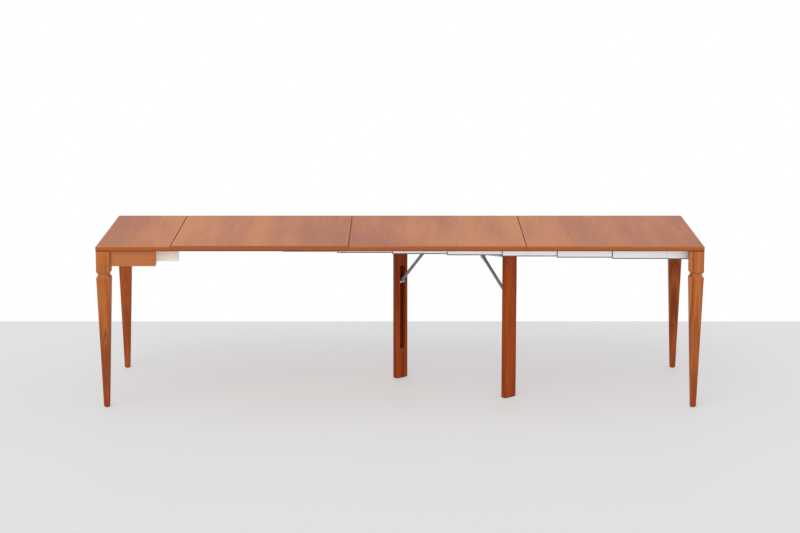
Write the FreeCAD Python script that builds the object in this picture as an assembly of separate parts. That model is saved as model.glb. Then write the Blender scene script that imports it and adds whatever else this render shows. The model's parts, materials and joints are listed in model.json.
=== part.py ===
import FreeCAD, Part
import math
import os

from FreeCAD import Rotation, Vector

# Extendable console table, opened to its full length. The origin is on the floor under the middle of the top,
# X runs along the length, the front is at -Y and Z is up. All sizes are in millimetres.

# Top boards
TABLE_LENGTH = 2850.0
TABLE_DEPTH = 900.0
TABLE_HEIGHT = 780.0
TOP_THICKNESS = 25.0
FIXED_TOP_LENGTH = 350.0
LEAF_COUNT = 3
SEAM_GAP = 1.2
TOP_ARRIS = 5.0
SEAM_ARRIS = 0.8

# Corner legs, from the floor up
GLIDE_HEIGHT = 4.0
GLIDE_INSET = 3.0
LEG_SIZE = 68.0
LEG_FOOT_SIZE = 28.0
LEG_ARRIS = 5.0
BLOCK_HEIGHT = 100.0
NECK_UPPER_SLOPE = 11.0
NECK_FLAT = 4.0
NECK_LOWER_SLOPE = 13.0
NECK_DEPTH = 8.0

# Aprons
APRON_THICKNESS = 20.0
SIDE_APRON_HEIGHT = 73.0
SIDE_APRON_SETBACK = 14.0
SIDE_APRON_CORNER = 7.0
END_APRON_HEIGHT = 60.0
END_APRON_SETBACK = 5.0
TENON_LENGTH = 20.0
TENON_THICKNESS = 10.0
TENON_SHOULDER = 10.0
JOINERY_CLEARANCE = 0.1

# Carriage that pulls out of the fixed frame
CARRIAGE_TRAVEL = 57.0
CARRIAGE_PLATE = 4.0
BEARER_WIDTH = 24.0
BEARER_LEG_GAP = 6.0
GUIDE_RUNNER_HEIGHT = 8.0
GUIDE_RUNNER_DEPTH = 4.0
INNER_GUIDE_WIDTH = 18.0
GUIDE_END_GAP = 2.0

# Telescopic rails
END_FRAME_TRAVEL = 102.0
RAIL_MIN_OVERLAP = 26.0
RAIL_THICKNESS = 6.1
FIRST_RAIL_HEIGHT = 54.7
LAST_RAIL_HEIGHT = 17.9
TONGUE_HEIGHT = 6.0
TONGUE_DROP = 6.0
TONGUE_BITE = 1.9
SOCKET_THICKNESS = 7.7
SOCKET_BEARER_GAP = 4.0

# Running clearances
LEAF_CLEARANCE = 0.3
SLIDE_CLEARANCE = 0.4
STOP_CLEARANCE = 0.5
PIN_CLEARANCE = 0.05
FACE_CLEARANCE = 0.2

# Middle support, on a crossbar between one pair of rails
SUPPORT_RAIL = 4
SUPPORT_MIDDLE_X = 263.0
SUPPORT_MIDDLE_Y = -12.0
SUPPORT_ANGLE = -45.0
SUPPORT_DROP = 2.0
PIVOT_OFFSET = 40.0
CROSSBAR_WIDTH = 40.0
CROSSBAR_THICKNESS = 6.0
SPACER_DIAMETER = 44.0
BOLT_DIAMETER = 12.0
BOLT_HEAD_DIAMETER = 26.0
BOLT_HEAD_HEIGHT = 5.0
NUT_WIDTH = 19.0
NUT_HEIGHT = 8.0
BEAM_THICKNESS = 6.0
BEAM_ARM_LAP = 110.0
BEAM_CORNER = 12.0
BEAM_NOSE_LENGTH = 70.0
BEAM_NOSE_WIDTH = 14.0

# Middle legs
MIDDLE_LEG_SPACING = 664.0
MIDDLE_LEG_THICKNESS = 30.0
MIDDLE_LEG_WIDTH = 72.0
MIDDLE_LEG_GAP = 3.0
MIDDLE_LEG_ARRIS = 1.2
PAD_HEIGHT = 3.0
PAD_INSET = 4.0
SLOT_WIDTH = 33.0
SLOT_DEPTH = 22.0
SLOT_CORNER = 3.0
SLOT_TOP_DROP = 114.0
SLOT_LENGTH = 416.0

# Hinge between the beam and a middle leg
HINGE_WIDTH = 44.0
HINGE_LEAF = 2.0
HINGE_LEAF_LENGTH = 36.0
KNUCKLE_RADIUS = 3.4
KNUCKLE_COUNT = 5
HINGE_PIN_DIAMETER = 3.6
HINGE_OFFSET = 4.0

# Strut between the beam and a middle leg
STRUT_DIAMETER = 15.0
STRUT_EYE_RADIUS = 8.5
STRUT_EYE_THICKNESS = 8.0
STRUT_PIN_DIAMETER = 6.0
STRUT_REACH = 155.0
SHOE_DROP = 193.0
SHOE_DEPTH = 10.0
SHOE_DIAMETER = 18.0
BRACKET_CHEEK = 4.0
BRACKET_BASE = 3.0
BRACKET_BASE_LENGTH = 36.0
BRACKET_RADIUS = 8.5

os.makedirs("parts", exist_ok=True)

X_AXIS = Vector(1, 0, 0)
Y_AXIS = Vector(0, 1, 0)
Z_AXIS = Vector(0, 0, 1)
ORIGIN = Vector(0, 0, 0)

# Places that follow from the driving dimensions
left_end = -TABLE_LENGTH / 2
right_end = TABLE_LENGTH / 2
front_face = -TABLE_DEPTH / 2
underside = TABLE_HEIGHT - TOP_THICKNESS
carried_top = underside - LEAF_CLEARANCE
fixed_top_end = left_end + FIXED_TOP_LENGTH
leaf_length = (TABLE_LENGTH - FIXED_TOP_LENGTH - LEAF_COUNT * SEAM_GAP) / LEAF_COUNT

# Closing: the moving frame comes in until its outer face meets the end of the fixed top
total_travel = TABLE_LENGTH - FIXED_TOP_LENGTH
end_apron_inner = END_APRON_SETBACK + APRON_THICKNESS
closed_room = FIXED_TOP_LENGTH - 2 * end_apron_inner
rail_length = closed_room - CARRIAGE_PLATE - 3 * STOP_CLEARANCE
rail_travel_sum = total_travel - CARRIAGE_TRAVEL - END_FRAME_TRAVEL
rail_count = math.ceil(rail_travel_sum / (rail_length - RAIL_MIN_OVERLAP))
rail_travel = rail_travel_sum / rail_count
rail_overlap = rail_length - rail_travel
plate_start = left_end + end_apron_inner + STOP_CLEARANCE + CARRIAGE_TRAVEL
plate_end = plate_start + CARRIAGE_PLATE

# Distances in from the front or rear face of the top
bearer_in = LEG_SIZE + BEARER_LEG_GAP
socket_in = bearer_in + BEARER_WIDTH + SOCKET_BEARER_GAP
first_rail_in = socket_in + SOCKET_THICKNESS + SLIDE_CLEARANCE
rail_pitch = RAIL_THICKNESS + SLIDE_CLEARANCE
rail_height_step = (FIRST_RAIL_HEIGHT - LAST_RAIL_HEIGHT) / (rail_count - 1)
tongue_middle = carried_top - TONGUE_DROP - TONGUE_HEIGHT / 2

# Middle support, in a frame of its own with x along the beam and its origin under the beam's middle
support_top = underside - max(END_APRON_HEIGHT, LEAF_CLEARANCE + FIRST_RAIL_HEIGHT) - SUPPORT_DROP
beam_bottom = support_top - BEAM_THICKNESS
leg_face = -(MIDDLE_LEG_SPACING - MIDDLE_LEG_THICKNESS) / 2
leg_side = -(MIDDLE_LEG_WIDTH + MIDDLE_LEG_GAP) / 2
hinge_x = leg_face + HINGE_OFFSET
hinge_z = beam_bottom - HINGE_OFFSET
strut_pivot_x = hinge_x + STRUT_REACH
strut_pivot_z = hinge_z - HINGE_OFFSET - SHOE_DEPTH
shoe_x = leg_face - SHOE_DEPTH
shoe_z = hinge_z - SHOE_DROP


def box(x, y, z):
    """A box between the two ends given on each axis."""
    return Part.makeBox(x[1] - x[0], y[1] - y[0], z[1] - z[0], Vector(x[0], y[0], z[0]))


def rod(radius, start, end):
    """A round bar between two points."""
    along = end - start
    return Part.makeCylinder(radius, along.Length, start, along)


def prism(points, along):
    """A closed outline carried along a vector."""
    return Part.Face(Part.makePolygon(points + points[:1])).extrude(along)


def chamfer_edges(solid, size, chosen):
    """Break those edges of a solid for which chosen(edge) is true."""
    return solid.makeChamfer(size, [edge for edge in solid.Edges if chosen(edge)])


def upright(edge):
    return edge.BoundBox.ZLength > edge.Length / 2


def rear(solid):
    """The rear twin of a front piece."""
    return solid.mirror(ORIGIN, Y_AXIS)


def moving(solid):
    """The right-hand twin of a left-hand piece."""
    return solid.mirror(ORIGIN, X_AXIS)


def save(name, *solids):
    shape = solids[0] if len(solids) == 1 else Part.makeCompound(solids)
    shape.exportStep(f"parts/{name}.step")


def save_pair(name, solid):
    save(f"{name}_front", solid)
    save(f"{name}_rear", rear(solid))


# Top boards: the outer edges have a broad arris above, the seams a fine one
def top_board(x_start, x_end, outer_ends):
    board = box((x_start, x_end), (front_face, -front_face), (underside, TABLE_HEIGHT))

    def on_outer_edge(edge):
        middle = edge.CenterOfMass
        on_side = abs(abs(middle.y) + front_face) < SEAM_ARRIS
        on_end = any(abs(middle.x - end) < SEAM_ARRIS for end in outer_ends)
        return middle.z > TABLE_HEIGHT - SEAM_ARRIS and (on_side or on_end)

    board = chamfer_edges(board, TOP_ARRIS, on_outer_edge)

    def on_seam(edge):
        middle = edge.CenterOfMass
        at_end = min(abs(middle.x - x_start), abs(middle.x - x_end)) < SEAM_ARRIS
        return middle.z > TABLE_HEIGHT - SEAM_ARRIS and at_end and abs(middle.y) < SEAM_ARRIS

    return chamfer_edges(board, SEAM_ARRIS, on_seam)


save("fixed_top", top_board(left_end, fixed_top_end, (left_end,)))
for number in range(LEAF_COUNT):
    leaf_start = fixed_top_end + SEAM_GAP + number * (leaf_length + SEAM_GAP)
    save(f"leaf_{number + 1}", top_board(leaf_start, leaf_start + leaf_length, (right_end,)))


# Corner legs: a square block, a notched neck and a long taper
def leg_section(size, arris, height):
    """The points of a square with cut corners, round the leg's own axis."""
    half = size / 2
    inner = half - arris
    corners = [(half, inner), (inner, half), (-inner, half), (-half, inner)]
    corners += [(-x, -y) for x, y in corners]
    return [Vector(x, y, height) for x, y in corners]


def flat_sided(sections):
    """A solid with flat faces between the matching points of its sections."""
    outlines = [sections[0], sections[-1]]
    for lower, upper in zip(sections, sections[1:]):
        for index in range(len(lower)):
            outlines.append([lower[index - 1], lower[index], upper[index], upper[index - 1]])
    shell = Part.makeShell([Part.Face(Part.makePolygon(points + points[:1])) for points in outlines])
    shell.sewShape()
    return Part.makeSolid(shell)


def tenon_box(clearance, x, y, z):
    """The space of a tenon, or of its mortise when a clearance is given."""
    return box(
        (x[0] - clearance, x[1] + clearance),
        (y[0] - clearance, y[1] + clearance),
        (z[0] - clearance, z[1] + clearance),
    )


def end_tenon(top, clearance=0.0):
    middle = left_end + END_APRON_SETBACK + APRON_THICKNESS / 2
    shoulder = front_face + LEG_SIZE
    return tenon_box(
        clearance,
        (middle - TENON_THICKNESS / 2, middle + TENON_THICKNESS / 2),
        (shoulder - TENON_LENGTH, shoulder),
        (underside - END_APRON_HEIGHT + TENON_SHOULDER, top - TENON_SHOULDER),
    )


def side_tenon(clearance=0.0):
    middle = front_face + SIDE_APRON_SETBACK + APRON_THICKNESS / 2
    shoulder = left_end + LEG_SIZE
    return tenon_box(
        clearance,
        (shoulder - TENON_LENGTH, shoulder),
        (middle - TENON_THICKNESS / 2, middle + TENON_THICKNESS / 2),
        (underside - SIDE_APRON_HEIGHT + TENON_SHOULDER, underside - TENON_SHOULDER),
    )


def corner_leg(top):
    block_bottom = underside - BLOCK_HEIGHT
    neck_top = block_bottom - NECK_UPPER_SLOPE
    neck_bottom = neck_top - NECK_FLAT
    shoulder = neck_bottom - NECK_LOWER_SLOPE
    neck_size = LEG_SIZE - 2 * NECK_DEPTH
    outline = [
        (LEG_FOOT_SIZE, GLIDE_HEIGHT),
        (LEG_SIZE, shoulder),
        (neck_size, neck_bottom),
        (neck_size, neck_top),
        (LEG_SIZE, block_bottom),
        (LEG_SIZE, top),
    ]
    leg = flat_sided([leg_section(size, LEG_ARRIS, height) for size, height in outline])
    leg.translate(Vector(left_end + LEG_SIZE / 2, front_face + LEG_SIZE / 2, 0))
    return leg


def foot_glide():
    radius = LEG_FOOT_SIZE / 2 - GLIDE_INSET
    middle = Vector(left_end + LEG_SIZE / 2, front_face + LEG_SIZE / 2, 0)
    glide = Part.makeCylinder(radius, GLIDE_HEIGHT, middle)
    return chamfer_edges(glide, GLIDE_INSET / 2, lambda edge: edge.BoundBox.ZMax < GLIDE_HEIGHT / 2)


def end_apron(top):
    inner = front_face + LEG_SIZE
    panel = box(
        (left_end + END_APRON_SETBACK, left_end + end_apron_inner),
        (inner, -inner),
        (underside - END_APRON_HEIGHT, top),
    )
    tenon = end_tenon(top)
    return panel.fuse([tenon, rear(tenon)]).removeSplitter()


fixed_leg = corner_leg(underside).cut(
    [end_tenon(underside, JOINERY_CLEARANCE), side_tenon(JOINERY_CLEARANCE)]
)
moving_leg = moving(corner_leg(carried_top).cut(end_tenon(carried_top, JOINERY_CLEARANCE)))
save_pair("left_leg", fixed_leg)
save_pair("right_leg", moving_leg)
save("left_foot_glides", foot_glide(), rear(foot_glide()))
save("right_foot_glides", moving(foot_glide()), moving(rear(foot_glide())))
save("left_end_apron", end_apron(underside))
save("right_end_apron", moving(end_apron(carried_top)))


# Side aprons run from the left legs to where the right legs stop when the table is closed
side_apron_end = fixed_top_end - LEG_SIZE - GUIDE_END_GAP
side_apron_bottom = underside - SIDE_APRON_HEIGHT


def side_apron():
    outer = front_face + SIDE_APRON_SETBACK
    panel = box(
        (left_end + LEG_SIZE, side_apron_end),
        (outer, outer + APRON_THICKNESS),
        (side_apron_bottom, underside),
    )

    def free_corner(edge):
        middle = edge.CenterOfMass
        at_end = middle.x > side_apron_end - SIDE_APRON_CORNER / 2
        return at_end and middle.z < side_apron_bottom + SIDE_APRON_CORNER / 2

    panel = panel.makeFillet(SIDE_APRON_CORNER, [edge for edge in panel.Edges if free_corner(edge)])
    return panel.fuse(side_tenon()).removeSplitter()


save_pair("side_apron", side_apron())

# Guide blocks behind the side aprons carry a runner for the bearers' grooves, which stop out of sight
bearer_bottom = underside - END_APRON_HEIGHT
runner_middle = (bearer_bottom + carried_top) / 2
bearer_outer = front_face + bearer_in
plate_side = bearer_outer + GUIDE_RUNNER_DEPTH + 2 * SLIDE_CLEARANCE
bearer_end = plate_end + rail_length


def bearer_guide():
    inner = bearer_outer - SLIDE_CLEARANCE
    span = (left_end + LEG_SIZE + GUIDE_END_GAP, side_apron_end)
    block = box(
        span,
        (front_face + SIDE_APRON_SETBACK + APRON_THICKNESS, inner),
        (bearer_bottom, underside),
    )
    runner = box(
        (span[0], side_apron_end - CARRIAGE_TRAVEL - STOP_CLEARANCE),
        (inner, inner + SLIDE_CLEARANCE + GUIDE_RUNNER_DEPTH),
        (runner_middle - GUIDE_RUNNER_HEIGHT / 2, runner_middle + GUIDE_RUNNER_HEIGHT / 2),
    )
    return block.fuse(runner).removeSplitter()


def bearer():
    bar = box(
        (plate_end, bearer_end),
        (bearer_outer, bearer_outer + BEARER_WIDTH),
        (bearer_bottom, carried_top),
    )
    half_groove = GUIDE_RUNNER_HEIGHT / 2 + SLIDE_CLEARANCE
    groove = box(
        (plate_end, side_apron_end),
        (bearer_outer, bearer_outer + GUIDE_RUNNER_DEPTH + SLIDE_CLEARANCE),
        (runner_middle - half_groove, runner_middle + half_groove),
    )
    return bar.cut(groove)


save("bearer_guides", bearer_guide(), rear(bearer_guide()))
save_pair("bearer", bearer())
save(
    "carriage_plate",
    box(
        (plate_start, plate_end),
        (plate_side, -plate_side),
        (bearer_bottom + SUPPORT_DROP, carried_top),
    ),
)


# Rails: flat bars side by side, each with a tongue in the groove of the next one out
def rail_bottom(number):
    return carried_top - FIRST_RAIL_HEIGHT + (number - 1) * rail_height_step


def rail_start(number):
    return plate_end + STOP_CLEARANCE + (rail_count + 1 - number) * rail_travel


def rail_bar(x_start, length, inset, thickness, bottom, tongue, groove):
    """A bar with its outer face at the given inset, a tongue outside and a groove inside where asked."""
    outer = front_face + inset
    bar = box((x_start, x_start + length), (outer, outer + thickness), (bottom, carried_top))
    if groove:
        half = TONGUE_HEIGHT / 2 + SLIDE_CLEARANCE
        depth = TONGUE_BITE + SLIDE_CLEARANCE
        bar = bar.cut(
            box(
                (x_start, x_start + length),
                (outer + thickness - depth, outer + thickness),
                (tongue_middle - half, tongue_middle + half),
            )
        )
    if tongue:
        half = TONGUE_HEIGHT / 2
        bar = bar.fuse(
            box(
                (x_start, x_start + length),
                (outer - SLIDE_CLEARANCE - TONGUE_BITE, outer),
                (tongue_middle - half, tongue_middle + half),
            )
        )
    return bar.removeSplitter()


for number in range(1, rail_count + 1):
    rail_in = first_rail_in + (number - 1) * rail_pitch
    rail = rail_bar(
        rail_start(number), rail_length, rail_in, RAIL_THICKNESS, rail_bottom(number), True, True
    )
    save_pair(f"rail_{number}", rail)

inner_guide_in = first_rail_in + rail_count * rail_pitch
save_pair(
    "inner_guide",
    rail_bar(
        plate_end, rail_length, inner_guide_in, INNER_GUIDE_WIDTH, rail_bottom(rail_count), True, False
    ),
)
socket_end = right_end - end_apron_inner
socket_start = rail_start(1) + rail_length - rail_overlap
save_pair(
    "rail_socket",
    rail_bar(
        socket_start,
        socket_end - socket_start,
        socket_in,
        SOCKET_THICKNESS,
        rail_bottom(1),
        False,
        True,
    ),
)


# Middle support: pieces are made along the beam and then turned to its place under the table
def placed(solid):
    turned = solid.copy()
    turned.rotate(ORIGIN, Z_AXIS, SUPPORT_ANGLE)
    turned.translate(Vector(SUPPORT_MIDDLE_X, SUPPORT_MIDDLE_Y, 0))
    return turned


def other_end(solid):
    """The twin at the other end of the beam."""
    turned = solid.copy()
    turned.rotate(ORIGIN, Z_AXIS, 180)
    return turned


def save_ends(name, solid):
    save(f"left_{name}", placed(solid))
    save(f"right_{name}", placed(other_end(solid)))


def save_both_ends(name, solid):
    save(name, placed(solid), placed(other_end(solid)))


pivot = Rotation(Z_AXIS, SUPPORT_ANGLE).multVec(Vector(PIVOT_OFFSET, 0, 0))
pivot = pivot + Vector(SUPPORT_MIDDLE_X, SUPPORT_MIDDLE_Y, 0)
crossbar_top = rail_bottom(SUPPORT_RAIL + 1) - SLIDE_CLEARANCE
crossbar_bottom = crossbar_top - CROSSBAR_THICKNESS
nut_bottom = crossbar_top + FACE_CLEARANCE
bolt_radius = BOLT_DIAMETER / 2


def at_pivot(height):
    return Vector(pivot.x, pivot.y, height)


def crossbar():
    reach = -front_face - first_rail_in - (SUPPORT_RAIL - 1) * rail_pitch - RAIL_THICKNESS
    bar = box(
        (pivot.x - CROSSBAR_WIDTH / 2, pivot.x + CROSSBAR_WIDTH / 2),
        (-reach, reach),
        (crossbar_bottom, crossbar_top),
    )
    return bar.cut(rod(bolt_radius + PIN_CLEARANCE, at_pivot(crossbar_bottom), at_pivot(crossbar_top)))


def pivot_spacer():
    bottom = support_top + FACE_CLEARANCE
    ring = rod(SPACER_DIAMETER / 2, at_pivot(bottom), at_pivot(crossbar_bottom))
    return ring.cut(rod(bolt_radius + PIN_CLEARANCE, at_pivot(bottom), at_pivot(crossbar_bottom)))


def pivot_bolt():
    head = rod(BOLT_HEAD_DIAMETER / 2, at_pivot(beam_bottom - BOLT_HEAD_HEIGHT), at_pivot(beam_bottom))
    shank = rod(bolt_radius, at_pivot(beam_bottom), at_pivot(nut_bottom + NUT_HEIGHT))
    return head.fuse(shank).removeSplitter()


def pivot_nut():
    radius = NUT_WIDTH / 2 / math.cos(math.pi / 6)
    corners = [
        at_pivot(nut_bottom) + Vector(radius, 0, 0) * math.cos(turn) + Vector(0, radius, 0) * math.sin(turn)
        for turn in (side * math.pi / 3 for side in range(6))
    ]
    hexagon = prism(corners, Vector(0, 0, NUT_HEIGHT))
    return hexagon.cut(rod(bolt_radius, at_pivot(nut_bottom), at_pivot(nut_bottom + NUT_HEIGHT)))


def support_beam():
    """Two arms side by side, one above each middle leg, joined where they pass each other."""
    end = leg_face + FACE_CLEARANCE
    arm = box((end, BEAM_ARM_LAP), (leg_side - HINGE_WIDTH / 2, 0), (beam_bottom, support_top))
    plate = arm.fuse(other_end(arm)).removeSplitter()
    plate = chamfer_edges(
        plate, BEAM_CORNER, lambda edge: upright(edge) and abs(edge.CenterOfMass.y) > BEAM_CORNER
    )
    nose_corners = [
        Vector(end, 0, beam_bottom),
        Vector(end + BEAM_NOSE_LENGTH, 0, beam_bottom),
        Vector(end, -BEAM_NOSE_WIDTH, beam_bottom),
    ]
    nose = prism(nose_corners, Vector(0, 0, BEAM_THICKNESS))
    bore = rod(bolt_radius, Vector(PIVOT_OFFSET, 0, beam_bottom), Vector(PIVOT_OFFSET, 0, support_top))
    return plate.cut([nose, other_end(nose), bore])


save("crossbar", crossbar())
save("pivot_spacer", pivot_spacer())
save("pivot_bolt", pivot_bolt())
save("pivot_nut", pivot_nut())
save("support_beam", placed(support_beam()))


# Middle legs: a plain board that stops against the beam's end, with a blind slot for the strut's shoe
def middle_leg():
    board = box(
        (leg_face - MIDDLE_LEG_THICKNESS, leg_face),
        (leg_side - MIDDLE_LEG_WIDTH / 2, leg_side + MIDDLE_LEG_WIDTH / 2),
        (PAD_HEIGHT, support_top),
    )
    board = chamfer_edges(board, MIDDLE_LEG_ARRIS, upright)
    half = SLOT_WIDTH / 2
    slot_top = hinge_z - SLOT_TOP_DROP
    slot = box(
        (leg_face - SLOT_DEPTH, leg_face),
        (leg_side - half, leg_side + half),
        (slot_top - SLOT_LENGTH, slot_top),
    )
    corners = [edge for edge in slot.Edges if edge.BoundBox.XLength > edge.Length / 2]
    return board.cut(slot.makeFillet(SLOT_CORNER, corners))


def foot_pad():
    half = MIDDLE_LEG_WIDTH / 2 - PAD_INSET
    return box(
        (leg_face - MIDDLE_LEG_THICKNESS + PAD_INSET, leg_face - PAD_INSET),
        (leg_side - half, leg_side + half),
        (0, PAD_HEIGHT),
    )


save_ends("middle_leg", middle_leg())
save_ends("middle_foot_pad", foot_pad())


# Hinges: the knuckles of the two leaves take turns along the pin
def hinge_axis_point(side):
    return Vector(hinge_x, leg_side + side, hinge_z)


def knuckles(chosen, bore_radius):
    pitch = HINGE_WIDTH / KNUCKLE_COUNT
    tubes = []
    for index in chosen:
        start = hinge_axis_point(-HINGE_WIDTH / 2 + index * pitch + FACE_CLEARANCE / 2)
        end = hinge_axis_point(-HINGE_WIDTH / 2 + (index + 1) * pitch - FACE_CLEARANCE / 2)
        tubes.append((rod(KNUCKLE_RADIUS, start, end), rod(bore_radius, start, end), start.y, end.y))
    return tubes


def hinge_leaf(flap, web, chosen, bore_radius):
    """A flat flap joined by webs to its own knuckles, which are then bored for the pin."""
    leaf = flap
    bores = []
    for tube, bore, start, end in knuckles(chosen, bore_radius):
        leaf = leaf.fuse([tube, web(start, end)])
        bores.append(bore)
    return leaf.removeSplitter().cut(bores)


hinge_sides = (leg_side - HINGE_WIDTH / 2, leg_side + HINGE_WIDTH / 2)
pin_radius = HINGE_PIN_DIAMETER / 2
beam_leaf = hinge_leaf(
    box(
        (hinge_x + KNUCKLE_RADIUS + SLIDE_CLEARANCE, hinge_x + HINGE_LEAF_LENGTH),
        hinge_sides,
        (beam_bottom - HINGE_LEAF, beam_bottom),
    ),
    lambda start, end: box(
        (hinge_x, hinge_x + KNUCKLE_RADIUS + 2 * SLIDE_CLEARANCE),
        (start, end),
        (beam_bottom - HINGE_LEAF, beam_bottom),
    ),
    range(1, KNUCKLE_COUNT, 2),
    pin_radius,
)
leg_leaf = hinge_leaf(
    box(
        (leg_face, leg_face + HINGE_LEAF),
        hinge_sides,
        (hinge_z - HINGE_LEAF_LENGTH, hinge_z - KNUCKLE_RADIUS - SLIDE_CLEARANCE),
    ),
    lambda start, end: box(
        (leg_face, leg_face + HINGE_LEAF),
        (start, end),
        (hinge_z - KNUCKLE_RADIUS - 2 * SLIDE_CLEARANCE, hinge_z),
    ),
    range(0, KNUCKLE_COUNT, 2),
    pin_radius + PIN_CLEARANCE,
)
save_both_ends("beam_hinge_leaves", beam_leaf)
save_ends("leg_hinge_leaf", leg_leaf)
save_both_ends(
    "hinge_pins", rod(pin_radius, hinge_axis_point(-HINGE_WIDTH / 2), hinge_axis_point(HINGE_WIDTH / 2))
)

# Struts: a round rod with flat eyes, pinned in a forked bracket above and to a sliding shoe below
cheek_gap = STRUT_EYE_THICKNESS + 2 * SLIDE_CLEARANCE
bracket_half = cheek_gap / 2 + BRACKET_CHEEK
strut_pin_radius = STRUT_PIN_DIAMETER / 2
strut_top = Vector(strut_pivot_x, leg_side, strut_pivot_z)
strut_foot = Vector(shoe_x, leg_side, shoe_z)


def across(point, half_width):
    """The two ends of a line through a point, across the width of a middle leg."""
    return point - Y_AXIS * half_width, point + Y_AXIS * half_width


def strut_bracket():
    base = box(
        (strut_pivot_x - BRACKET_BASE_LENGTH / 2, strut_pivot_x + BRACKET_BASE_LENGTH / 2),
        (leg_side - bracket_half, leg_side + bracket_half),
        (beam_bottom - BRACKET_BASE, beam_bottom),
    )
    cheek = box(
        (strut_pivot_x - BRACKET_RADIUS, strut_pivot_x + BRACKET_RADIUS),
        (leg_side - bracket_half, leg_side + bracket_half),
        (strut_pivot_z, beam_bottom - BRACKET_BASE),
    )
    cheek = cheek.fuse(rod(BRACKET_RADIUS, *across(strut_top, bracket_half)))
    fork_gap = box(
        (strut_pivot_x - BRACKET_BASE_LENGTH, strut_pivot_x + BRACKET_BASE_LENGTH),
        (leg_side - cheek_gap / 2, leg_side + cheek_gap / 2),
        (strut_pivot_z - 2 * BRACKET_RADIUS, beam_bottom - BRACKET_BASE),
    )
    bracket = base.fuse(cheek).removeSplitter().cut(fork_gap)
    return bracket.cut(rod(strut_pin_radius, *across(strut_top, bracket_half)))


def strut():
    along = (strut_foot - strut_top).normalize()
    square = Y_AXIS.cross(along)
    half = STRUT_EYE_THICKNESS / 2
    neck = 2 * STRUT_EYE_RADIUS
    shape = rod(STRUT_DIAMETER / 2, strut_top + along * neck, strut_foot - along * neck)
    for eye, inward in ((strut_top, along), (strut_foot, -along)):
        disc = rod(STRUT_EYE_RADIUS, *across(eye, half))
        side = square * (STRUT_DIAMETER / 2)
        root = eye + inward * (neck + STRUT_EYE_RADIUS)
        corners = [eye + side, eye - side, root - side, root + side]
        tang = prism([corner - Y_AXIS * half for corner in corners], Y_AXIS * STRUT_EYE_THICKNESS)
        shape = shape.fuse([disc, tang])
    shape = shape.removeSplitter()
    top_bore = rod(strut_pin_radius + PIN_CLEARANCE, *across(strut_top, half))
    foot_bore = rod(strut_pin_radius, *across(strut_foot, half))
    return shape.cut([top_bore, foot_bore])


def strut_shoe():
    """A pin through the strut's foot with a round slider at each end."""
    half = SLOT_WIDTH / 2 - STOP_CLEARANCE
    eye_half = STRUT_EYE_THICKNESS / 2
    slider = rod(SHOE_DIAMETER / 2, *across(strut_foot, half))
    waist = rod(SHOE_DIAMETER, *across(strut_foot, eye_half))
    return slider.cut(waist).fuse(rod(strut_pin_radius, *across(strut_foot, half))).removeSplitter()


save_both_ends("strut_brackets", strut_bracket())
save_both_ends("strut_pins", rod(strut_pin_radius, *across(strut_top, bracket_half)))
save_ends("strut", strut())
save_ends("strut_shoe", strut_shoe())
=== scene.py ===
import json
import math

import bmesh
import bpy
from mathutils import Matrix, Vector

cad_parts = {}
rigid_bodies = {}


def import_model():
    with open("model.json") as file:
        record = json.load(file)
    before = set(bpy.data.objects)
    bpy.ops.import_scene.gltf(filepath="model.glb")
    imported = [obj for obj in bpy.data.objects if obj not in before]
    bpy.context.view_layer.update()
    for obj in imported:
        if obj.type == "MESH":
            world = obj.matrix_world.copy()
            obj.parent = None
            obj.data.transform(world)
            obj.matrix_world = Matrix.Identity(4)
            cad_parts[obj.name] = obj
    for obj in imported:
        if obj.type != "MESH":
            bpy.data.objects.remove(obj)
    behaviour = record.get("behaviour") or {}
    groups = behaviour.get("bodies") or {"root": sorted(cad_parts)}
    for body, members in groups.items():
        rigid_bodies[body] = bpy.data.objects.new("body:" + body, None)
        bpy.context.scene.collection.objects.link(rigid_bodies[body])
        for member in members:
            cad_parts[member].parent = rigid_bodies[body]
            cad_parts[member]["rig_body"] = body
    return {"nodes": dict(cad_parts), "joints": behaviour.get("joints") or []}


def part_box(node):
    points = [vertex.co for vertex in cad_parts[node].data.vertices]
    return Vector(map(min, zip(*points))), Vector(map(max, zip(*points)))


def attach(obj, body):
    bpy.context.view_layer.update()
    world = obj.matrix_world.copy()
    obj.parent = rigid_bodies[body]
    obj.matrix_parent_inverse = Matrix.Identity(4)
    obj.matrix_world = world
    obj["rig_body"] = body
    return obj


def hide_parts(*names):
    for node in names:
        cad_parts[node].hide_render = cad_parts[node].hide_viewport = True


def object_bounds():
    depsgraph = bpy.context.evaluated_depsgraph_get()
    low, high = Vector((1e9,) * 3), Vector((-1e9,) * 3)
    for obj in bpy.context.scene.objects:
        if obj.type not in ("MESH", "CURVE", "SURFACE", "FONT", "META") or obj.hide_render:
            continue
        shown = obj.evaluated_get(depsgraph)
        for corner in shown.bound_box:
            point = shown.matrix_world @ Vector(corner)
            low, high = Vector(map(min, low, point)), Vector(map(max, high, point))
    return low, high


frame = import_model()

# Extendable console table, opened out. Lengths are in metres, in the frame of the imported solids.
cad_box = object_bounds()
nodes = frame["nodes"]
joints = {joint["name"]: joint for joint in frame["joints"]}
board_names = ["fixed_top"] + sorted(name for name in nodes if name.startswith("leaf_"))
ENDS = ("left", "right")
SIDES = ("front", "rear")
UP = Vector((0.0, 0.0, 1.0))
MM = 0.001

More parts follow.
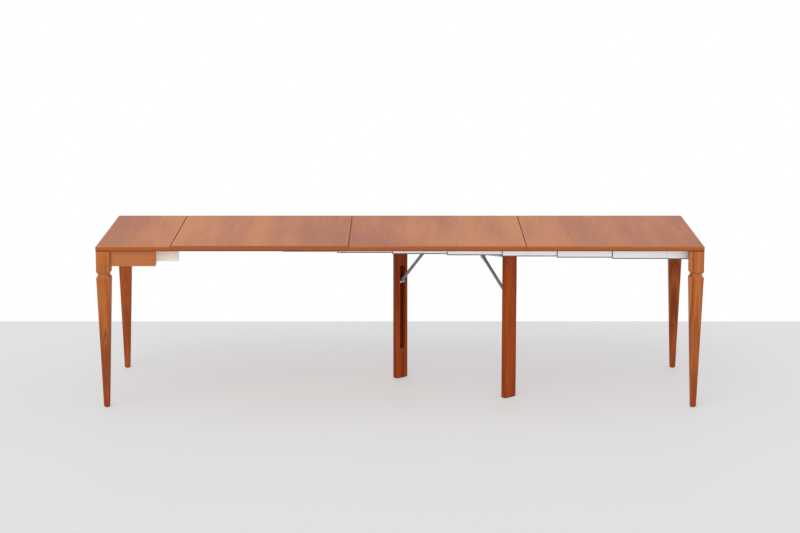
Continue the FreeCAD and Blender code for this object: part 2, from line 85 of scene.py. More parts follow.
# Camera, floor and light
CAMERA_PLACE = (0.0, -10.960, 2.625)
CAMERA_PITCH = math.radians(10.466)
CAMERA_LENS = 102.71
FLOOR_SIDE = 9.0
FLOOR_FRONT = -9.0
FLOOR_BACK = 1.56
FLOOR_COLOUR = (0.90, 0.90, 0.905)
FLOOR_PLAIN = (0.76, 0.76, 0.765)
FLOOR_PLAIN_SHARE = 0.5
FLOOR_CLOUDS = (1.5, 1.5, 1.5)
FLOOR_ROUGHNESS = 0.55
FLOOR_UNEVENNESS = 0.1
FLOOR_SHINE = 0.3
WHITE = (1.0, 1.0, 1.0, 1.0)
SKY_LIGHT = 0.62
KEY_FROM = (-0.28, -0.80, 0.53)
KEY_SPREAD = math.radians(60)
KEY_STRENGTH = 1.25

# Eased edges, and the darker faces of boards and legs, of which the lower edges, slots, narrow sides and
# leg tops are painted shade
MERGE_DISTANCE = 0.01 * MM
FLAT_ANGLE = math.radians(0.5)
SHARP_ANGLE = math.radians(20)
ROUND_ANGLE = math.radians(32)
EASE_SEGMENTS = 3
UPRIGHT_SLOPE = 0.1
ARRIS_SLOPE = 0.9
ARRIS_TONE = 0.3
LOWER_PAINTED_SHADE = 1.0
SEAM_REACH = 4.0 * MM
SEAM_EASE = 1.5 * MM
SEAM_SEGMENTS = 6
LOWER_EASE = 5.0 * MM
SLOT_SKIN = 2.0 * MM
SLOT_STAIN_AND_SHADE = 0.55
NARROW_PAINTED_SHADE = 0.40
NARROW_FACING = 0.9
WOOD_EASE = 0.7 * MM
BOARD_EASE = 0.3 * MM
METAL_EASE = 0.3 * MM

# Rail trim: a grey strip along the lower edge, which is painted shade, and a cap on the leading end of each
# bar
TRIM_WALL = 0.15 * MM
SHADE_STRIP_HEIGHT = 4.4 * MM
CAP_LENGTH = 3.6 * MM
TONGUE_ROOM = 13.0 * MM
RAIL_THICKNESS = 6.1 * MM
SOCKET_THICKNESS = 7.7 * MM

# Screws
SCREW_SIDES = 32
SCREW_CROWN = 0.4 * MM
SCREW_SINK = 1.6 * MM
SCREW_SHANK = 0.6
SCREW_RIM = 0.16
RECESS_ARMS = 4
RECESS_SIZE = 0.52
RECESS_LOBES = 0.42
RECESS_DEPTH = 0.9 * MM
HINGE_SCREW = 8.0 * MM
HINGE_FACE_BACK = 2.0 * MM
LEAF_THICKNESS = 2.0 * MM
BRACKET_BASE = 3.0 * MM
HINGE_OUTER_ROW = 14.0 * MM
HINGE_MIDDLE_ROW = 27.0 * MM
HINGE_SCREW_SPREAD = 15.0 * MM
BRACKET_SCREW = 6.4 * MM
BRACKET_SCREW_REACH = 13.2 * MM


class Socket:
    """One output of a shader node. Arithmetic on it adds Math nodes, so it is for plain numbers only."""

    def __init__(self, finish, link):
        self.finish = finish
        self.link = link

    def math(self, operation, *values):
        return self.finish.node("ShaderNodeMath", {"operation": operation}, dict(enumerate(values)))

    def __add__(self, other):
        return self.math("ADD", self, other)

    def __radd__(self, other):
        return self.math("ADD", other, self)

    def __sub__(self, other):
        return self.math("SUBTRACT", self, other)

    def __rsub__(self, other):
        return self.math("SUBTRACT", other, self)

    def __mul__(self, other):
        return self.math("MULTIPLY", self, other)

    def __rmul__(self, other):
        return self.math("MULTIPLY", other, self)


class Finish:
    """A node tree under construction, for a material or for the world."""

    def __init__(self, owner):
        self.owner = owner
        owner.use_nodes = True
        self.tree = owner.node_tree
        self.tree.nodes.clear()

    def node(self, kind, settings=None, sockets=None, output=0):
        """Add a node: its settings first, then values or links for its sockets. Returns one output."""
        made = self.tree.nodes.new(kind)
        for name, value in (settings or {}).items():
            setattr(made, name, value)
        for name, value in (sockets or {}).items():
            if isinstance(value, Socket):
                self.tree.links.new(value.link, made.inputs[name])
            else:
                made.inputs[name].default_value = value
        return Socket(self, made.outputs[output]) if made.outputs else made

    def ramp(self, value, limits):
        """A smooth rise from 0 to 1 between two values."""
        values = {"Value": value, "From Min": limits[0], "From Max": limits[1]}
        return self.node("ShaderNodeMapRange", {"interpolation_type": "SMOOTHSTEP"}, values)

    def mix(self, factor, first, second):
        """A blend of two colours."""
        colours = {"Factor": factor, 6: first, 7: second}
        return self.node("ShaderNodeMix", {"data_type": "RGBA"}, colours, 2)

    def place(self):
        """Where a point lies on the piece, in the table's frame."""
        return self.node("ShaderNodeTexCoord", None, None, "Object")

    def mark(self, name):
        """The value of a mark that the piece's faces carry, or 0."""
        return self.node("ShaderNodeAttribute", {"attribute_name": name}, None, 2)

    def scaled(self, vector, factors):
        """A vector with each part multiplied by its own factor."""
        return self.node("ShaderNodeVectorMath", {"operation": "MULTIPLY"}, {0: vector, 1: factors})

    def noise(self, vector, factors, detail=2.0, roughness=0.5):
        """Cloudy noise on a vector that is first stretched by the factors."""
        values = {
            "Vector": self.scaled(vector, factors),
            "Scale": 1.0,
            "Detail": detail,
            "Roughness": roughness,
        }
        return self.node("ShaderNodeTexNoise", None, values)

    def bump(self, height, strength, distance):
        """A normal that makes a height look raised."""
        values = {"Height": height, "Strength": strength, "Distance": distance}
        return self.node("ShaderNodeBump", None, values)

    def surface(self, sockets):
        """Close the tree with one shader and return the material."""
        shader = self.node("ShaderNodeBsdfPrincipled", None, sockets)
        self.node("ShaderNodeOutputMaterial", None, {"Surface": shader})
        return self.owner


def linear(red, green, blue):
    """A colour given as it looks on a screen, from 0 to 255, as shader values."""
    parts = [part / 255 for part in (red, green, blue)]
    return tuple(p / 12.92 if p <= 0.04045 else ((p + 0.055) / 1.055) ** 2.4 for p in parts) + (1.0,)


def new_finish(name):
    """An empty material to build a finish in."""
    return Finish(bpy.data.materials.new(name))


# How a pattern is turned so that its fibres or lines lie along each axis
GRAIN_TURN = {
    "x": (0.0, 0.0, 0.0),
    "y": (0.0, 0.0, -math.pi / 2),
    "z": (0.0, math.pi / 2, 0.0),
}

# Grain of the wood: how often each kind repeats in a metre along and across the fibres, and where it shows
SWAY_GRAIN = (0.9, 4.0, 4.0)
FIGURE_GRAIN = (0.9, 7.0, 7.0)
BAND_GRAIN = (1.6, 52.0, 52.0)
STREAK_GRAIN = (2.5, 160.0, 160.0)
FLECK_GRAIN = (9.0, 80.0, 80.0)
FLECK_LIMITS = (0.68, 0.76)
PORE_GRAIN = (55.0, 1500.0, 1500.0)
PORE_LIMITS = (0.60, 0.72)
RINGS_PER_METRE = 170.0
RING_SWAY = 0.05
NOISE_MIDDLE = 0.5

# Tone, polish and relief of the wood
MIDDLE_SHADE = 0.36
MIDDLE_HEIGHT = 0.5
STREAK_WEIGHT = 0.25
DARK_TO_MAIN = (0.355, 0.575)
MAIN_TO_PALE = (0.475, 0.755)
PALE_SHARE = 0.8
PORE_SHARE = 0.20
FLECK_SHARE = 0.30
LIPPING_SHARE = 0.90
EDGE_SHARE = 0.25
EDGE_STREAK_SHARE = 0.35
SEAL_AND_SHADE_SHARE = 0.85
STREAK_ROUGHNESS = 0.10
FIGURE_ROUGHNESS = 0.06
EDGE_ROUGHNESS = 0.05
SEAL_AND_SHADE_ROUGHNESS = 0.35
STREAK_RELIEF = 0.5
RING_RELIEF = 0.15
PORE_RELIEF = 0.8
WOOD_BUMP = 0.20
WOOD_BUMP_DEPTH = 0.2 * MM


def wood(
    name,
    tones,
    along,
    start,
    gloss=0.40,
    shine=0.34,
    mottle=0.72,
    banding=0.0,
    crown=0.05,
    drift=0.0,
    rise=0.0,
    narrowing=0.09,
):
    """Lacquered timber with the fibres along one axis. Tones are the pale, the main and the dark colour.

    Start is how far the grain is shifted, first along the fibres and then across them, gloss the roughness
    of the lacquer and shine its reflection. Mottle is the weight of cloudy figure, banding that of broad
    stripes and crown that of the growth rings.
    Drift is the change of tone for each metre across the fibres and rise that for each metre of height,
    which is painted light that makes a piece lighter towards its top; narrowing is how fast the rings close
    up along the fibres.
    """
    finish = new_finish(name)
    pale, main, dark = (linear(*tone) for tone in tones)
    place = finish.place()
    turn = {"Vector": place, "Location": start, "Rotation": GRAIN_TURN[along]}
    fibre = finish.node("ShaderNodeMapping", None, turn)
    edge, lipping, sealer_and_painted_shade, banded = (finish.mark(mark) for mark in ("eased", "lipping", "sealer_and_painted_shade", "banded"))
    lengthwise = finish.node("ShaderNodeMapping", None, {"Vector": place, "Location": start})
    vectors = {"Factor": banded, 4: fibre, 5: lengthwise}
    fibre = finish.node("ShaderNodeMix", {"data_type": "VECTOR"}, vectors, 1)

    sway = finish.noise(fibre, SWAY_GRAIN, detail=3.0)
    heart = finish.scaled(fibre, (narrowing, 1.0, 1.0))
    radius = finish.node("ShaderNodeVectorMath", {"operation": "LENGTH"}, {0: heart}, 1)
    growth = {"W": (radius + sway * RING_SWAY) * RINGS_PER_METRE, "Scale": 1.0, "Detail": 2.0}
    rings = finish.node("ShaderNodeTexNoise", {"noise_dimensions": "1D"}, growth)
    figure = finish.noise(fibre, FIGURE_GRAIN, detail=4.0, roughness=0.55)
    streaks = finish.noise(fibre, STREAK_GRAIN, detail=4.0, roughness=0.6)
    bands = finish.noise(fibre, BAND_GRAIN, detail=3.0)
    pores = finish.ramp(finish.noise(fibre, PORE_GRAIN, detail=1.0), PORE_LIMITS)
    flecks = finish.ramp(finish.noise(fibre, FLECK_GRAIN), FLECK_LIMITS)
    across = finish.node("ShaderNodeSeparateXYZ", None, {"Vector": fibre}, "Y")
    above = finish.node("ShaderNodeSeparateXYZ", None, {"Vector": place}, "Z") - MIDDLE_HEIGHT

    shade = MIDDLE_SHADE + (figure - NOISE_MIDDLE) * mottle + (bands - NOISE_MIDDLE) * banding
    # above * rise is painted light: the piece is coloured lighter towards its top.
    shade = shade + (NOISE_MIDDLE - rings) * crown + streaks * STREAK_WEIGHT + across * drift + above * rise
    darkened = pores * PORE_SHARE + flecks * FLECK_SHARE + lipping * LIPPING_SHARE
    colour = finish.mix(finish.ramp(shade, DARK_TO_MAIN), dark, main)
    colour = finish.mix(finish.ramp(shade, MAIN_TO_PALE) * PALE_SHARE, colour, pale)
    colour = finish.mix(darkened, colour, dark)
    colour = finish.mix(edge * (EDGE_SHARE + streaks * EDGE_STREAK_SHARE), colour, pale)
    # Sealer colour on seam ends, and painted shade on lower edges, slots, narrow sides and the tops of legs
    # and aprons.
    colour = finish.mix(sealer_and_painted_shade * SEAL_AND_SHADE_SHARE, colour, linear(*SEALER_AND_PAINTED_SHADE))
    roughness = gloss + streaks * STREAK_ROUGHNESS + figure * FIGURE_ROUGHNESS
    roughness = roughness + edge * EDGE_ROUGHNESS + sealer_and_painted_shade * SEAL_AND_SHADE_ROUGHNESS
    height = streaks * STREAK_RELIEF + rings * RING_RELIEF - pores * PORE_RELIEF
    return finish.surface(
        {
            "Base Color": colour,
            "Roughness": roughness,
            "Specular IOR Level": shine,
            "Normal": finish.bump(height, WOOD_BUMP, WOOD_BUMP_DEPTH),
        }
    )


# Tones of the woods, the rear legs' darker for painted shade, and of the sealer on seam ends, which also
# colours the painted shade on lower edges, slots, narrow sides and the tops of legs and aprons
VENEER = ((212, 136, 66), (194, 110, 47), (162, 81, 30))
APRON_CHERRY = ((197, 124, 68), (181, 104, 54), (148, 76, 33))
LEG_CHERRY = ((198, 121, 65), (179, 101, 47), (139, 65, 24))
CHERRY_WITH_PAINTED_SHADE = ((182, 100, 46), (164, 80, 30), (130, 58, 18))
STAINED = ((196, 100, 36), (176, 80, 22), (126, 44, 8))
BEECH = ((255, 253, 246), (254, 249, 237), (246, 236, 216))
SEALER_AND_PAINTED_SHADE = (108, 44, 16)

# Metal and plastic
LINE_GRAIN = (6.0, 1800.0, 1800.0)
CLOUD_GRAIN = (9.0, 24.0, 24.0)
SCUFF_GRAIN = (40.0, 260.0, 260.0)
SCUFF_LIMITS = (0.62, 0.74)
BRIGHT_TO_DULL = (0.20, 0.75)
LINE_TONE = 0.35
CLOUD_TONE = 0.45
SCUFF_TONE = 0.20
EDGE_TONE = 0.20
LINE_ROUGHNESS = 0.14
SCUFF_ROUGHNESS = 0.08
SCUFF_RELIEF = 0.5
METAL_BUMP = 0.12
METAL_BUMP_DEPTH = 0.05 * MM
MOULD_GRAIN = (1400.0, 1400.0, 1400.0)
PATCH_GRAIN = (70.0, 70.0, 70.0)
PATCH_LIMITS = (0.45, 0.75)
PATCH_TONE = 0.5
MOULD_TONE = 0.15
MOULD_ROUGHNESS = 0.15
PATCH_POLISH = 0.08
PLASTIC_BUMP = 0.25
PLASTIC_BUMP_DEPTH = 0.08 * MM


def brushed_metal(name, tones, along, roughness, bare=1.0):
    """Drawn or rolled metal with fine lines along one axis, bare or partly under a grey coat."""
    finish = new_finish(name)
    bright, dull = (linear(*tone) for tone in tones)
    turn = {"Vector": finish.place(), "Rotation": GRAIN_TURN[along]}
    line = finish.node("ShaderNodeMapping", None, turn)
    lines = finish.noise(line, LINE_GRAIN)
    cloud = finish.noise(line, CLOUD_GRAIN, detail=3.0)
    scuffs = finish.ramp(finish.noise(line, SCUFF_GRAIN), SCUFF_LIMITS)
    tone = lines * LINE_TONE + cloud * CLOUD_TONE + scuffs * SCUFF_TONE - finish.mark("eased") * EDGE_TONE
    return finish.surface(
        {
            "Base Color": finish.mix(finish.ramp(tone, BRIGHT_TO_DULL), bright, dull),
            "Metallic": bare,
            "Roughness": roughness + lines * LINE_ROUGHNESS + scuffs * SCUFF_ROUGHNESS,
            "Normal": finish.bump(lines + scuffs * SCUFF_RELIEF, METAL_BUMP, METAL_BUMP_DEPTH),
        }
    )


def moulded_plastic(name, tones, roughness):
    """Matt plastic with a fine moulded grain and paler rubbed spots."""
    finish = new_finish(name)
    main, rubbed = (linear(*tone) for tone in tones)
    place = finish.place()
    grain = finish.noise(place, MOULD_GRAIN)
    patches = finish.ramp(finish.noise(place, PATCH_GRAIN, detail=3.0), PATCH_LIMITS)
    return finish.surface(
        {
            "Base Color": finish.mix(patches * PATCH_TONE + grain * MOULD_TONE, main, rubbed),
            "Roughness": roughness + grain * MOULD_ROUGHNESS - patches * PATCH_POLISH,
            "Normal": finish.bump(grain, PLASTIC_BUMP, PLASTIC_BUMP_DEPTH),
        }
    )


ALUMINIUM = ((246, 246, 247), (228, 229, 232))
STRUT_COAT = ((142, 143, 145), (118, 119, 121))
ZINC = ((222, 223, 225), (192, 193, 196))
PLATED = ((226, 226, 224), (178, 179, 180))
FOOT_PLASTIC = ((58, 34, 24), (92, 58, 42))
RAIL_TRIM_GREY = ((92, 93, 96), (120, 121, 124))
aluminium = brushed_metal("satin_aluminium", ALUMINIUM, "x", roughness=0.36)
grey_steel = brushed_metal("coated_steel", STRUT_COAT, "z", roughness=0.36, bare=0.35)
flat_steel = brushed_metal("zinc_plate", ZINC, "y", roughness=0.40)
bright_steel = brushed_metal("plated_steel", PLATED, "x", roughness=0.20)
dark_plastic = moulded_plastic("dark_glide", FOOT_PLASTIC, roughness=0.48)
# The grey strip under each rail is painted shade along its lower edge.
grey_rail_trim = moulded_plastic("grey_shade_strip_and_cap", RAIL_TRIM_GREY, roughness=0.42)


# Pieces
def finish_piece(mesh, name, material, body):
    """Turn a bmesh into a piece that rides on a body."""
    data = bpy.data.meshes.new(name)
    mesh.to_mesh(data)
    mesh.free()
    data.materials.append(material)
    piece = bpy.data.objects.new(name, data)
    bpy.context.scene.collection.objects.link(piece)
    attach(piece, body)
    return piece


def paint(node, material):
    """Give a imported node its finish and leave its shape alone."""
    data = nodes[node].data
    data.materials.clear()
    data.materials.append(material)


def seam_places(node):
    """Where a board's ends meet its neighbours, along the table."""
    return [end.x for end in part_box(node) if abs(end.x) < cad_box[1][0] - SEAM_REACH]


def mark_lipping(mesh, worn, node):
    """Note the lipped edges of a board, the arris above, the painted shade on the rounding below, and the
    ends at a seam.
    """
    mesh.normal_update()
    lipping = mesh.faces.layers.float.new("lipping")
    sealer_and_painted_shade = mesh.faces.layers.float.new("sealer_and_painted_shade")
    banded = mesh.faces.layers.float.new("banded")
    for face in mesh.faces:
        middle = face.calc_center_median()
        if abs(face.normal.y) > UPRIGHT_SLOPE:
            face[banded] = 1.0
        if any(abs(middle.x - seam) < SEAM_REACH for seam in seam_places(node)):
            face[sealer_and_painted_shade] = 1.0
            face[worn] = 0.0
        elif abs(face.normal.z) < ARRIS_SLOPE:
            face[worn] = 0.0
            if face.normal.z > UPRIGHT_SLOPE:
                face[lipping] = ARRIS_TONE
            elif face.normal.z < -UPRIGHT_SLOPE:
                # Painted shade on the downward-facing rounding of the lower edge.
                face[sealer_and_painted_shade] = LOWER_PAINTED_SHADE
            else:
                face[lipping] = 1.0


def mark_stain_and_painted_shade(mesh, node):
    """Note a middle leg's darker faces: painted shade on its narrow sides, and the slot's faces, which lie
    inside its outline, darker as raw wood and as painted shade.
    """
    mesh.normal_update()
    sealer_and_painted_shade = mesh.faces.layers.float.new("sealer_and_painted_shade")
    low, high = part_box(node)
    centre = (low + high) / 2
    across = Vector(joints[node.replace("middle_leg", "leg_fold")]["axis"]).normalized()
    axes = (across, across.cross(UP), UP)
    reaches = [max(abs((vert.co - centre).dot(axis)) for vert in mesh.verts) for axis in axes]
    for face in mesh.faces:
        middle = face.calc_center_median() - centre
        if all(abs(middle.dot(axis)) < reach - SLOT_SKIN for axis, reach in zip(axes, reaches)):
            face[sealer_and_painted_shade] = SLOT_STAIN_AND_SHADE
        elif abs(face.normal.dot(across)) > NARROW_FACING:
            # Painted shade on the narrow sides.
            face[sealer_and_painted_shade] = NARROW_PAINTED_SHADE


def mark_painted_shade_on_top(mesh, worn, node):
    """Paint shade on the top of a leg or apron, which the boards lie on, so the groove under the boards'
    rounded edges looks dark.
    """
    sealer_and_painted_shade = mesh.faces.layers.float.new("sealer_and_painted_shade")
    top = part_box(node)[1].z
    for face in mesh.faces:
        if face.calc_center_median().z > top - WOOD_EASE:
            face[sealer_and_painted_shade] = 1.0
            face[worn] = 0.0


def round_over(mesh, edges, radius, segments=EASE_SEGMENTS):
    """Round a set of edges and return the new faces."""
    return bmesh.ops.bevel(
        mesh,
        geom=edges,
        offset=radius,
        offset_type="OFFSET",
        affect="EDGES",
        segments=segments,
        profile=0.5,
        clamp_overlap=True,
        material=-1,
    )["faces"]


def at_seam(edge, node):
    """Whether an edge of a board lies at one of its seams."""
    return any(all(abs(vert.co.x - seam) < SEAM_REACH for vert in edge.verts) for seam in seam_places(node))


def ease_seams(mesh, node):
    """Take the sharp upper edge off a board's ends where they meet a neighbour."""
    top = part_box(node)[1].z
    ends = []
    for edge in mesh.edges:
        level = all(abs(vert.co.z - top) < MERGE_DISTANCE for vert in edge.verts)
        if level and at_seam(edge, node):
            ends.append(edge)
    round_over(mesh, ends, SEAM_EASE, SEAM_SEGMENTS)


def ease_lower_edges(mesh, node):
    """Round the lower edges of a board that lie on the outside of the table."""
    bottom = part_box(node)[0].z
    outside = []
    for edge in mesh.edges:
        if all(abs(vert.co.z - bottom) < MERGE_DISTANCE for vert in edge.verts):
            middle = (edge.verts[0].co + edge.verts[1].co) / 2
            if any(abs(abs(middle[axis]) - cad_box[1][axis]) < SEAM_REACH for axis in (0, 1)):
                outside.append(edge)
    round_over(mesh, outside, LOWER_EASE, SEAM_SEGMENTS)


def keep_inside(mesh, node):
    """Bring back vertices that rounding has pushed out of a node's box, and merge those that meet."""
    low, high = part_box(node)
    for vert in mesh.verts:
        vert.co = [min(max(part, least), most) for part, least, most in zip(vert.co, low, high)]
    bmesh.ops.remove_doubles(mesh, verts=mesh.verts, dist=MERGE_DISTANCE)


def merged_copy(node):
    """A node's mesh with its loose triangles joined and its flat faces made whole."""
    mesh = bmesh.new()
    mesh.from_mesh(nodes[node].data)
    bmesh.ops.remove_doubles(mesh, verts=mesh.verts, dist=MERGE_DISTANCE)
    bmesh.ops.dissolve_limit(mesh, angle_limit=FLAT_ANGLE, verts=mesh.verts, edges=mesh.edges)
    return mesh


def smoothed(node, material):
    """Show a copy of a turned or bent piece in its place, with its round faces shaded smooth."""
    mesh = merged_copy(node)
    for face in mesh.faces:
        face.smooth = True
    for edge in mesh.edges:
        edge.smooth = edge.is_manifold and edge.calc_face_angle() < ROUND_ANGLE
    piece = finish_piece(mesh, f"{node}_turned", material, nodes[node]["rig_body"])
    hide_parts(node)


def eased(node, radius, material):
    """Show a copy of a node in its place, with its sharp edges rounded over."""
    mesh = merged_copy(node)
    worn = mesh.faces.layers.float.new("eased")
    if node in board_names:
        ease_seams(mesh, node)
        ease_lower_edges(mesh, node)
    sharp = [edge for edge in mesh.edges if edge.is_manifold and edge.calc_face_angle() > SHARP_ANGLE]
    if node in board_names:
        sharp = [edge for edge in sharp if not at_seam(edge, node)]
    for face in round_over(mesh, sharp, radius):
        face[worn] = 1.0
    keep_inside(mesh, node)
    if node in board_names:
        mark_lipping(mesh, worn, node)
    elif node.endswith("_middle_leg"):
        mark_stain_and_painted_shade(mesh, node)
    elif "_leg_" in node or "apron" in node:
        mark_painted_shade_on_top(mesh, worn, node)
    piece = finish_piece(mesh, f"{node}_eased", material, nodes[node]["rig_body"])
    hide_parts(node)


# Top boards, veneered across the table with a crown in the middle of each, and lipped along it.
# Neighbours are book-matched, so their paler sides meet in pairs.
CROWN_SHIFT = 0.03
CROWN_START = 1.1
CROWN_STEP = 1.3
CROWN_DEPTH = 0.11
BOARD_LOOK = {"mottle": 0.48, "crown": 0.09}
BOARD_DRIFT = 0.18
for count, board in enumerate(board_names):
    low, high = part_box(board)
    hand = -1 if count % 2 == 0 else 1
    middle = (low.x + high.x) / 2 + CROWN_SHIFT * hand
    start = (CROWN_START + CROWN_STEP * count, middle, CROWN_DEPTH - high.z)
    veneer = wood(f"cherry_{board}", VENEER, "y", start, drift=BOARD_DRIFT * hand, **BOARD_LOOK)
    eased(board, BOARD_EASE, veneer)


# Legs and aprons
def upright_start(node, along, heart):
    """Where the grain of an upright piece starts: along its fibres, and beside its middle."""
    low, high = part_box(node)
    return along, heart[0] - (low.y + high.y) / 2, (low.x + high.x) / 2 + heart[1]


LEG_LOOK = {"shine": 0.18, "mottle": 0.40, "banding": 0.14, "crown": 0.34, "narrowing": 0.02}
LEG_START = 0.4
LEG_STEP = 0.7
LEG_HEART = (0.014, 0.004)
# Painted light: the front legs are coloured lighter towards their tops and darker towards their feet.
FRONT_LEG_PAINTED_LIGHT_RISE = 0.34
for count, (end, side) in enumerate((end, side) for end in ENDS for side in SIDES):
    leg = f"{end}_leg_{side}"
    start = upright_start(leg, LEG_STEP * count + LEG_START, LEG_HEART)
    if side == "front":
        cherry = wood(f"cherry_{leg}", LEG_CHERRY, "z", start, rise=FRONT_LEG_PAINTED_LIGHT_RISE, **LEG_LOOK)
    else:
        # The rear legs take darker tones of the same cherry: painted shade, as under the table top.
        cherry = wood(f"cherry_{leg}", CHERRY_WITH_PAINTED_SHADE, "z", start, **LEG_LOOK)
    eased(leg, WOOD_EASE, cherry)

APRON_STEP = 1.0
SIDE_APRON_START = (3.0, 0.3, -0.66)
END_APRON_START = (5.0, 1.3, -0.66)
side_aprons = [f"side_apron_{side}" for side in SIDES]
end_aprons = [f"{end}_end_apron" for end in ENDS]
for aprons, along, first in ((side_aprons, "x", SIDE_APRON_START), (end_aprons, "y", END_APRON_START)):
    for count, apron in enumerate(aprons):
        start = (first[0] + APRON_STEP * count, first[1], first[2])
        eased(apron, WOOD_EASE, wood(f"cherry_{apron}", APRON_CHERRY, along, start))

# Bearers and guide blocks
BEECH_START = (0.4, 0.2, -0.6)
beech = wood("beech", BEECH, "x", BEECH_START, gloss=0.44)
for side in SIDES:
    eased(f"bearer_{side}", WOOD_EASE, beech)
paint("bearer_guides", beech)

# Middle legs
MIDDLE_LEG_LOOK = {"gloss": 0.36, "shine": 0.12, "mottle": 0.32, "banding": 0.40}
MIDDLE_LEG_START = {"left": 0.31, "right": 1.17}
MIDDLE_LEG_HEART = (0.02, 0.04)
for end in ENDS:
    leg = f"{end}_middle_leg"
    start = upright_start(leg, MIDDLE_LEG_START[end], MIDDLE_LEG_HEART)
    eased(leg, WOOD_EASE, wood(f"stained_{leg}", STAINED, "z", start, **MIDDLE_LEG_LOOK))

# Rails and what they run in
rail_names = sorted(name for name in nodes if name.startswith("rail_"))
for name in rail_names + [f"inner_guide_{side}" for side in SIDES]:
    eased(name, METAL_EASE, aluminium)


def add_plate(mesh, outline, front, back):
    """Add a plate to a bmesh: an outline in the upright plane along the table, extruded across it."""
    face = mesh.faces.new([mesh.verts.new((x, front, z)) for x, z in outline])
    extruded = bmesh.ops.extrude_face_region(mesh, geom=[face])["geom"]
    moved = [part for part in extruded if isinstance(part, bmesh.types.BMVert)]
    bmesh.ops.translate(mesh, verts=moved, vec=(0.0, back - front, 0.0))
    bmesh.ops.recalc_face_normals(mesh, faces=mesh.faces)


def rail_faces(low, high, side, thickness):
    """The two flat faces of a rail, without the tongue that stands out on its outer side."""
    tongue = (high.y - low.y) - thickness
    if side == "front":
        return low.y + tongue, high.y
    return low.y, high.y - tongue


def rail_trim(rail, thickness):
    """Add the grey strips of one pair of rails, painted shade along their lower edges, which turn up into a
    cap on the leading end of a bar.
    """
    mesh = bmesh.new()
    for side in SIDES:
        low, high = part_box(f"{rail}_{side}")
        face_low, face_high = rail_faces(low, high, side, thickness)
        lead = low.x - TRIM_WALL
        trail = high.x - CAP_LENGTH
        bottom = low.z - TRIM_WALL
        strip_top = low.z + SHADE_STRIP_HEIGHT
        outline = [(lead, bottom), (trail, bottom), (trail, strip_top)]
        if rail == "rail_socket":
            outline += [(lead, strip_top)]
        else:
            cap_end = low.x + CAP_LENGTH
            cap_top = high.z - TONGUE_ROOM
            outline += [(cap_end, strip_top), (cap_end, cap_top), (lead, cap_top)]
        add_plate(mesh, outline, face_low - TRIM_WALL, face_high + TRIM_WALL)
    body = nodes[f"{rail}_front"]["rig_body"]
    finish_piece(mesh, f"{rail}_glides", grey_rail_trim, body)


for name in rail_names:
    if name.endswith("_front"):
        rail_trim(name.removesuffix("_front"), SOCKET_THICKNESS if "socket" in name else RAIL_THICKNESS)

# Steel of the carriage and the middle support, and the plastic under the feet
for node in ("support_beam", "crossbar", "carriage_plate"):
    eased(node, METAL_EASE, flat_steel)
for node in ("beam_hinge_leaves", "left_leg_hinge_leaf", "right_leg_hinge_leaf"):
    smoothed(node, flat_steel)
for node in ("strut_brackets", "left_strut", "right_strut"):
    smoothed(node, grey_steel)
for node in ("pivot_bolt", "pivot_nut", "pivot_spacer", "hinge_pins", "strut_pins"):
    smoothed(node, bright_steel)
for end in ENDS:
    smoothed(f"{end}_strut_shoe", bright_steel)
    smoothed(f"{end}_foot_glides", dark_plastic)
    paint(f"{end}_middle_foot_pad", dark_plastic)


# Screws of the hinges and of the strut brackets
def add_screw(mesh, place, outward, diameter):
    """Add a countersunk screw whose low crown stands just proud of its plate, with a cross recess."""
    seat = Matrix.Translation(place) @ outward.to_track_quat("Z", "Y").to_matrix().to_4x4()
    made = bmesh.ops.create_cone(
        mesh,
        cap_ends=True,
        segments=SCREW_SIDES,
        radius1=diameter / 2 * SCREW_SHANK,
        radius2=diameter / 2,
        depth=SCREW_SINK,
        matrix=seat @ Matrix.Translation((0.0, 0.0, -SCREW_SINK / 2)),
    )
    faces = {face for vert in made["verts"] for face in vert.link_faces}
    head = [max(faces, key=lambda face: face.calc_center_median().dot(outward))]
    for rim, rise in ((SCREW_RIM, SCREW_CROWN), (SCREW_RIM / 2, 0.0)):
        bmesh.ops.inset_region(
            mesh, faces=head, thickness=diameter * rim, depth=rise, use_boundary=True, use_even_offset=True
        )
    back = seat.inverted()
    for vert in head[0].verts:
        spot = back @ vert.co
        lobes = 1.0 - RECESS_LOBES + RECESS_LOBES * math.cos(RECESS_ARMS * math.atan2(spot.y, spot.x))
        flat = Vector((spot.x, spot.y, 0.0)).normalized() * (diameter / 2 * RECESS_SIZE * lobes)
        vert.co = seat @ Vector((flat.x, flat.y, spot.z))
    bmesh.ops.inset_region(
        mesh, faces=head, thickness=0.0, depth=-RECESS_DEPTH, use_boundary=True, use_even_offset=True
    )


beam_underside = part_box("strut_brackets")[1].z
support_screws = bmesh.new()
for end in ENDS:
    hinge = Vector(joints[f"{end}_leg_fold"]["pos_m"])
    across = Vector(joints[f"{end}_leg_fold"]["axis"]).normalized()
    strut_top = Vector(joints[f"{end}_strut_turn"]["pos_m"])
    inward = strut_top - hinge
    inward.z = 0.0
    inward -= across * inward.dot(across)
    inward.normalize()
    leg_leaf_face = hinge - inward * HINGE_FACE_BACK
    leg_screws = bmesh.new()
    for spread in (-HINGE_SCREW_SPREAD, 0.0, HINGE_SCREW_SPREAD):
        row = HINGE_MIDDLE_ROW if spread == 0.0 else HINGE_OUTER_ROW
        add_screw(leg_screws, leg_leaf_face + across * spread - UP * row, inward, HINGE_SCREW)
        beam_spot = hinge + inward * row + across * spread
        beam_spot.z = beam_underside - LEAF_THICKNESS
        add_screw(support_screws, beam_spot, -UP, HINGE_SCREW)
    body = nodes[f"{end}_middle_leg"]["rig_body"]
    finish_piece(leg_screws, f"{end}_leg_hinge_screws", bright_steel, body)
    for reach in (-BRACKET_SCREW_REACH, BRACKET_SCREW_REACH):
        spot = strut_top + inward * reach
        spot.z = beam_underside - BRACKET_BASE
        add_screw(support_screws, spot, -UP, BRACKET_SCREW)
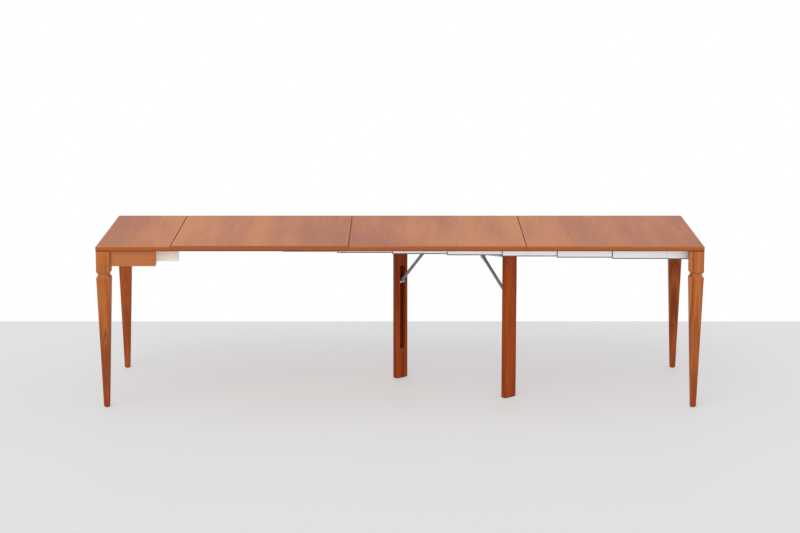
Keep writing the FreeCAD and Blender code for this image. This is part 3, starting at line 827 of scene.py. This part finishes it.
body = nodes["support_beam"]["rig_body"]
finish_piece(support_screws, "support_screws", bright_steel, body)


# Camera, light and floor
def background_rays(finish):
    """1 for what the camera sees directly, in gloss or through glass, and 0 for the light on the object."""
    kinds = ("Camera", "Glossy", "Transmission")
    camera, glossy, through = (
        finish.node("ShaderNodeLightPath", None, None, f"Is {kind} Ray") for kind in kinds
    )
    return camera.math("MAXIMUM", camera.math("MAXIMUM", camera, glossy), through)


def make_floor():
    """A pale floor. Part of what the camera sees of it is its plain colour, so the shadow stays light."""
    finish = new_finish("pale_floor")
    cloud = finish.noise(finish.place(), FLOOR_CLOUDS, detail=3.0)
    lit = finish.node(
        "ShaderNodeBsdfPrincipled",
        None,
        {
            "Base Color": FLOOR_COLOUR + (1.0,),
            "Roughness": FLOOR_ROUGHNESS + cloud * FLOOR_UNEVENNESS,
            "Specular IOR Level": FLOOR_SHINE,
        },
    )
    plain = finish.node("ShaderNodeEmission", None, {"Color": FLOOR_PLAIN + (1.0,), "Strength": 1.0})
    shares = {0: background_rays(finish) * FLOOR_PLAIN_SHARE, 1: lit, 2: plain}
    mixed = finish.node("ShaderNodeMixShader", None, shares)
    finish.node("ShaderNodeOutputMaterial", None, {"Surface": mixed})
    mesh = bmesh.new()
    corners = [
        (-FLOOR_SIDE, FLOOR_FRONT, 0.0),
        (FLOOR_SIDE, FLOOR_FRONT, 0.0),
        (FLOOR_SIDE, FLOOR_BACK, 0.0),
        (-FLOOR_SIDE, FLOOR_BACK, 0.0),
    ]
    mesh.faces.new([mesh.verts.new(corner) for corner in corners])
    data = bpy.data.meshes.new("floor")
    mesh.to_mesh(data)
    mesh.free()
    data.materials.append(finish.owner)
    floor = bpy.data.objects.new("floor", data)
    bpy.context.scene.collection.objects.link(floor)


def make_light():
    """A white surround for even light, and one wide key lamp."""
    world = bpy.data.worlds.new("studio")
    bpy.context.scene.world = world
    finish = Finish(world)
    level = SKY_LIGHT + background_rays(finish) * (1.0 - SKY_LIGHT)
    sky = finish.node("ShaderNodeBackground", None, {"Color": WHITE, "Strength": level})
    finish.node("ShaderNodeOutputWorld", None, {"Surface": sky})

    lamp = bpy.data.lights.new("key", "SUN")
    lamp.angle = KEY_SPREAD
    lamp.energy = KEY_STRENGTH
    key = bpy.data.objects.new("key", lamp)
    key.rotation_euler = (-Vector(KEY_FROM)).to_track_quat("-Z", "Y").to_euler()
    bpy.context.scene.collection.objects.link(key)


def make_camera():
    """The camera, at the photograph's viewing angle."""
    lens = bpy.data.cameras.new("camera")
    lens.lens = CAMERA_LENS
    camera = bpy.data.objects.new("camera", lens)
    camera.location = CAMERA_PLACE
    camera.rotation_euler = (math.pi / 2 - CAMERA_PITCH, 0.0, 0.0)
    bpy.context.scene.collection.objects.link(camera)
    bpy.context.scene.camera = camera


make_floor()
make_light()
make_camera()
bpy.context.scene.view_settings.view_transform = "Standard"
